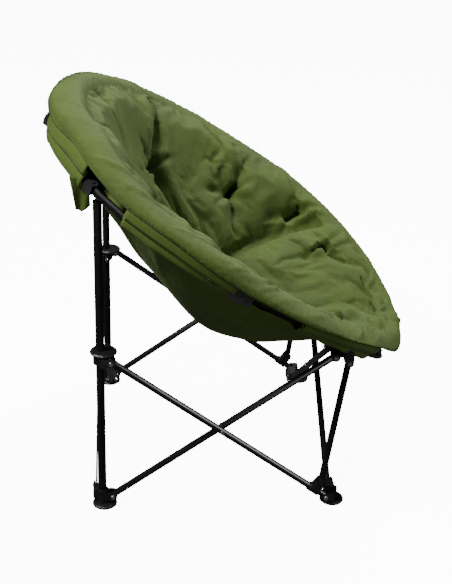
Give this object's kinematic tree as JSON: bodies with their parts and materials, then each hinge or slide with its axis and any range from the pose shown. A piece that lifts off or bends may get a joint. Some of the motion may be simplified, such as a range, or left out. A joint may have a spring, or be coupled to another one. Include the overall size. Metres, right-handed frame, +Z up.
{
  "type": "folding saucer chair",
  "caption": "Folding chair with a round padded bowl seat on a jointed steel hoop, held by two rear uprights and crossed scissor tubes that fold together into a bundle.",
  "frame": {"origin": "on the floor under the middle of the opened chair", "axes": "+X the way the sitter faces, +Y the sitter's left, +Z up"},
  "size_m": [0.8811, 0.9374, 0.9321],
  "materials": {
    "satin_black_steel": "satin powder coat",
    "gloss_black_steel": "gloss",
    "black_plastic": "moulded",
    "charcoal_bracket": "satin",
    "silver_plate": "zinc plated",
    "zinc_rivet": "zinc plated",
    "moss_fabric": "woven, matte"
  },
  "bodies": {
    "right_rear_leg": {"rear_upright_right": "satin_black_steel", "rear_foot_right": "black_plastic", "upright_plate_right": "silver_plate", "seat_pad": "moss_fabric", "rivet_inner_tube_foot_right": "zinc_rivet", "rivet_rear_cross_up_left_foot": "zinc_rivet"},
    "rear_cross_up_left": {"rear_cross_tube_up_left": "gloss_black_steel", "rivet_rear_cross": "zinc_rivet"},
    "rear_cross_up_right": {"rear_cross_tube_up_right": "gloss_black_steel"},
    "left_rear_leg": {"rear_upright_left": "satin_black_steel", "rear_foot_left": "black_plastic", "upright_plate_left": "silver_plate", "rivet_inner_tube_foot_left": "zinc_rivet", "rivet_rear_cross_up_right_foot": "zinc_rivet"},
    "slider_right": {"slider_right": "black_plastic", "rivet_outer_tube_slider_right": "zinc_rivet", "rivet_rear_cross_up_right_top": "zinc_rivet"},
    "slider_left": {"slider_left": "black_plastic", "rivet_outer_tube_slider_left": "zinc_rivet", "rivet_rear_cross_up_left_top": "zinc_rivet"},
    "side_inner_tube_left": {"side_inner_tube_left": "gloss_black_steel", "rivet_side_cross_left": "zinc_rivet"},
    "side_outer_tube_left": {"side_outer_tube_left": "gloss_black_steel"},
    "front_foot_left": {"front_foot_left": "black_plastic", "rivet_outer_tube_foot_left": "zinc_rivet", "rivet_front_cross_up_right_foot": "zinc_rivet"},
    "front_hub_left": {"front_hub_left": "black_plastic", "rivet_inner_tube_hub_left": "zinc_rivet", "screw_strut_hub_left": "zinc_rivet", "rivet_front_cross_up_left_top": "zinc_rivet"},
    "front_strut_left": {"front_strut_left": "gloss_black_steel"},
    "strut_sleeve_left": {"strut_sleeve_left": "black_plastic"},
    "rear_bracket_left": {"rear_bracket_left": "charcoal_bracket"},
    "hoop_rear_left": {"hoop_rear_left": "satin_black_steel", "joint_housing_left": "charcoal_bracket"},
    "front_bracket_left": {"front_bracket_left": "charcoal_bracket"},
    "hoop_front_left": {"hoop_front_left": "satin_black_steel"},
    "side_inner_tube_right": {"side_inner_tube_right": "gloss_black_steel", "rivet_side_cross_right": "zinc_rivet"},
    "side_outer_tube_right": {"side_outer_tube_right": "gloss_black_steel"},
    "front_foot_right": {"front_foot_right": "black_plastic", "rivet_outer_tube_foot_right": "zinc_rivet", "rivet_front_cross_up_left_foot": "zinc_rivet"},
    "front_hub_right": {"front_hub_right": "black_plastic", "rivet_inner_tube_hub_right": "zinc_rivet", "screw_strut_hub_right": "zinc_rivet", "rivet_front_cross_up_right_top": "zinc_rivet"},
    "front_strut_right": {"front_strut_right": "gloss_black_steel"},
    "strut_sleeve_right": {"strut_sleeve_right": "black_plastic"},
    "rear_bracket_right": {"rear_bracket_right": "charcoal_bracket"},
    "hoop_rear_right": {"hoop_rear_right": "satin_black_steel", "joint_housing_right": "charcoal_bracket", "joint_housing_back": "black_plastic"},
    "front_bracket_right": {"front_bracket_right": "charcoal_bracket"},
    "hoop_front_right": {"hoop_front_right": "satin_black_steel", "joint_housing_front": "black_plastic"},
    "front_cross_up_left": {"front_cross_tube_up_left": "gloss_black_steel", "rivet_front_cross": "zinc_rivet"},
    "front_cross_up_right": {"front_cross_tube_up_right": "gloss_black_steel"}
  },
  "joints": [
    {"name": "rear_cross_fold", "type": "hinge", "parent": "right_rear_leg", "child": "rear_cross_up_left", "pos_m": [-0.32058, -0.2505, 0.025], "axis": [1, 0, 0], "range_deg": [0, 39.5], "deforming": ["seat_pad"]},
    {"name": "rear_cross_middle", "type": "hinge", "parent": "rear_cross_up_left", "child": "rear_cross_up_right", "pos_m": [-0.31058, 0, 0.208], "axis": [1, 0, 0], "range_deg": [-79, 0]},
    {"name": "left_foot_rear_cross", "type": "hinge", "parent": "rear_cross_up_right", "child": "left_rear_leg", "pos_m": [-0.30058, 0.2505, 0.025], "axis": [1, 0, 0], "range_deg": [0, 39.5]},
    {"name": "slider_right_turn", "type": "hinge", "parent": "rear_cross_up_right", "child": "slider_right", "pos_m": [-0.30058, -0.2505, 0.391], "axis": [1, 0, 0], "range_deg": [0, 39.5]},
    {"name": "slider_left_turn", "type": "hinge", "parent": "rear_cross_up_left", "child": "slider_left", "pos_m": [-0.32058, 0.2505, 0.391], "axis": [1, 0, 0], "range_deg": [-39.5, 0]},
    {"name": "side_inner_fold_left", "type": "hinge", "parent": "left_rear_leg", "child": "side_inner_tube_left", "pos_m": [-0.28608, 0.2905, 0.025], "axis": [0, 1, 0], "range_deg": [-39.5, 0]},
    {"name": "side_cross_left", "type": "hinge", "parent": "side_inner_tube_left", "child": "side_outer_tube_left", "pos_m": [-0.03558, 0.3005, 0.208], "axis": [0, 1, 0], "range_deg": [0, 79]},
    {"name": "front_foot_turn_left", "type": "hinge", "parent": "side_outer_tube_left", "child": "front_foot_left", "pos_m": [0.21492, 0.3105, 0.025], "axis": [0, 1, 0], "range_deg": [-39.5, 0]},
    {"name": "front_hub_turn_left", "type": "hinge", "parent": "side_inner_tube_left", "child": "front_hub_left", "pos_m": [0.21492, 0.2905, 0.391], "axis": [0, 1, 0], "range_deg": [0, 39.5]},
    {"name": "side_inner_fold_right", "type": "hinge", "parent": "right_rear_leg", "child": "side_inner_tube_right", "pos_m": [-0.28608, -0.2905, 0.025], "axis": [0, 1, 0], "range_deg": [-39.5, 0]},
    {"name": "side_cross_right", "type": "hinge", "parent": "side_inner_tube_right", "child": "side_outer_tube_right", "pos_m": [-0.03558, -0.3005, 0.208], "axis": [0, 1, 0], "range_deg": [0, 79]},
    {"name": "front_foot_turn_right", "type": "hinge", "parent": "side_outer_tube_right", "child": "front_foot_right", "pos_m": [0.21492, -0.3105, 0.025], "axis": [0, 1, 0], "range_deg": [-39.5, 0]},
    {"name": "front_hub_turn_right", "type": "hinge", "parent": "side_inner_tube_right", "child": "front_hub_right", "pos_m": [0.21492, -0.2905, 0.391], "axis": [0, 1, 0], "range_deg": [0, 39.5]},
    {"name": "front_cross_fold_up_left", "type": "hinge", "parent": "front_foot_right", "child": "front_cross_up_left", "pos_m": [0.22892, -0.2505, 0.025], "axis": [1, 0, 0], "range_deg": [0, 39.5]},
    {"name": "front_cross_fold_up_right", "type": "hinge", "parent": "front_foot_left", "child": "front_cross_up_right", "pos_m": [0.20892, 0.2505, 0.025], "axis": [1, 0, 0], "range_deg": [-39.5, 0]},
    {"name": "strut_turn_left", "type": "hinge", "parent": "front_hub_left", "child": "front_strut_left", "pos_m": [0.24192, 0.3105, 0.387], "axis": [0, 1, 0], "range_deg": [0, 5.91]},
    {"name": "sleeve_slide_left", "type": "slide", "parent": "side_outer_tube_left", "child": "strut_sleeve_left", "axis": [-0.8075, 0, 0.5899], "range_m": [0, 0.25011]},
    {"name": "strut_turn_right", "type": "hinge", "parent": "front_hub_right", "child": "front_strut_right", "pos_m": [0.24192, -0.3105, 0.387], "axis": [0, 1, 0], "range_deg": [0, 5.91]},
    {"name": "sleeve_slide_right", "type": "slide", "parent": "side_outer_tube_right", "child": "strut_sleeve_right", "axis": [-0.8075, 0, 0.5899], "range_m": [0, 0.25011]},
    {"name": "rear_bracket_hinge_left", "type": "hinge", "parent": "left_rear_leg", "child": "rear_bracket_left", "pos_m": [-0.31058, 0.2905, 0.772], "axis": [-0.682, 0.7314, 0], "range_deg": [-77.83, 0]},
    {"name": "hoop_rear_swing_left", "type": "hinge", "parent": "rear_bracket_left", "child": "hoop_rear_left", "pos_m": [-0.32258, 0.295, 0.79], "axis": [-0.2852, -0.1975, -0.9379], "range_deg": [0, 23.75]},
    {"name": "front_bracket_hinge_left", "type": "hinge", "parent": "front_hub_left", "child": "front_bracket_left", "pos_m": [0.24052, 0.3293, 0.4125], "axis": [-0.6184, 0.7859, 0], "range_deg": [0, 102]},
    {"name": "hoop_front_swing_left", "type": "hinge", "parent": "front_bracket_left", "child": "hoop_front_left", "pos_m": [0.23942, 0.318, 0.43], "axis": [-0.3237, 0.4488, -0.8329], "range_deg": [-87.64, 0]},
    {"name": "rear_bracket_hinge_right", "type": "hinge", "parent": "right_rear_leg", "child": "rear_bracket_right", "pos_m": [-0.31058, -0.2905, 0.772], "axis": [0.682, 0.7314, 0], "range_deg": [-77.83, 0]},
    {"name": "hoop_rear_swing_right", "type": "hinge", "parent": "rear_bracket_right", "child": "hoop_rear_right", "pos_m": [-0.32258, -0.295, 0.79], "axis": [0.2852, -0.1975, 0.9379], "range_deg": [0, 23.75]},
    {"name": "front_bracket_hinge_right", "type": "hinge", "parent": "front_hub_right", "child": "front_bracket_right", "pos_m": [0.24052, -0.3293, 0.4125], "axis": [0.6184, 0.7859, 0], "range_deg": [0, 102]},
    {"name": "hoop_front_swing_right", "type": "hinge", "parent": "front_bracket_right", "child": "hoop_front_right", "pos_m": [0.23942, -0.318, 0.43], "axis": [0.3237, 0.4488, 0.8329], "range_deg": [-87.64, 0]}
  ],
  "couplings": [
    {"joint": "rear_cross_middle", "follows": "rear_cross_fold", "ratio": -2},
    {"joint": "left_foot_rear_cross", "follows": "rear_cross_fold", "ratio": 1},
    {"joint": "slider_right_turn", "follows": "rear_cross_fold", "ratio": 1},
    {"joint": "slider_left_turn", "follows": "rear_cross_fold", "ratio": -1},
    {"joint": "side_inner_fold_left", "follows": "rear_cross_fold", "ratio": -1},
    {"joint": "side_cross_left", "follows": "rear_cross_fold", "ratio": 2},
    {"joint": "front_foot_turn_left", "follows": "rear_cross_fold", "ratio": -1},
    {"joint": "front_hub_turn_left", "follows": "rear_cross_fold", "ratio": 1},
    {"joint": "side_inner_fold_right", "follows": "rear_cross_fold", "ratio": -1},
    {"joint": "side_cross_right", "follows": "rear_cross_fold", "ratio": 2},
    {"joint": "front_foot_turn_right", "follows": "rear_cross_fold", "ratio": -1},
    {"joint": "front_hub_turn_right", "follows": "rear_cross_fold", "ratio": 1},
    {"joint": "front_cross_fold_up_left", "follows": "rear_cross_fold", "ratio": 1},
    {"joint": "front_cross_fold_up_right", "follows": "rear_cross_fold", "ratio": -1},
    {"joint": "strut_turn_left", "follows": "rear_cross_fold", "ratio": 0.14951},
    {"joint": "sleeve_slide_left", "follows": "rear_cross_fold", "m_per_rad": 0.36279},
    {"joint": "strut_turn_right", "follows": "rear_cross_fold", "ratio": 0.14951},
    {"joint": "sleeve_slide_right", "follows": "rear_cross_fold", "m_per_rad": 0.36279},
    {"joint": "rear_bracket_hinge_left", "follows": "rear_cross_fold", "ratio": -1.9703},
    {"joint": "hoop_rear_swing_left", "follows": "rear_cross_fold", "ratio": 0.60125},
    {"joint": "front_bracket_hinge_left", "follows": "rear_cross_fold", "ratio": 2.5823},
    {"joint": "hoop_front_swing_left", "follows": "rear_cross_fold", "ratio": -2.2188},
    {"joint": "rear_bracket_hinge_right", "follows": "rear_cross_fold", "ratio": -1.9703},
    {"joint": "hoop_rear_swing_right", "follows": "rear_cross_fold", "ratio": 0.60125},
    {"joint": "front_bracket_hinge_right", "follows": "rear_cross_fold", "ratio": 2.5823},
    {"joint": "hoop_front_swing_right", "follows": "rear_cross_fold", "ratio": -2.2188}
  ]
}
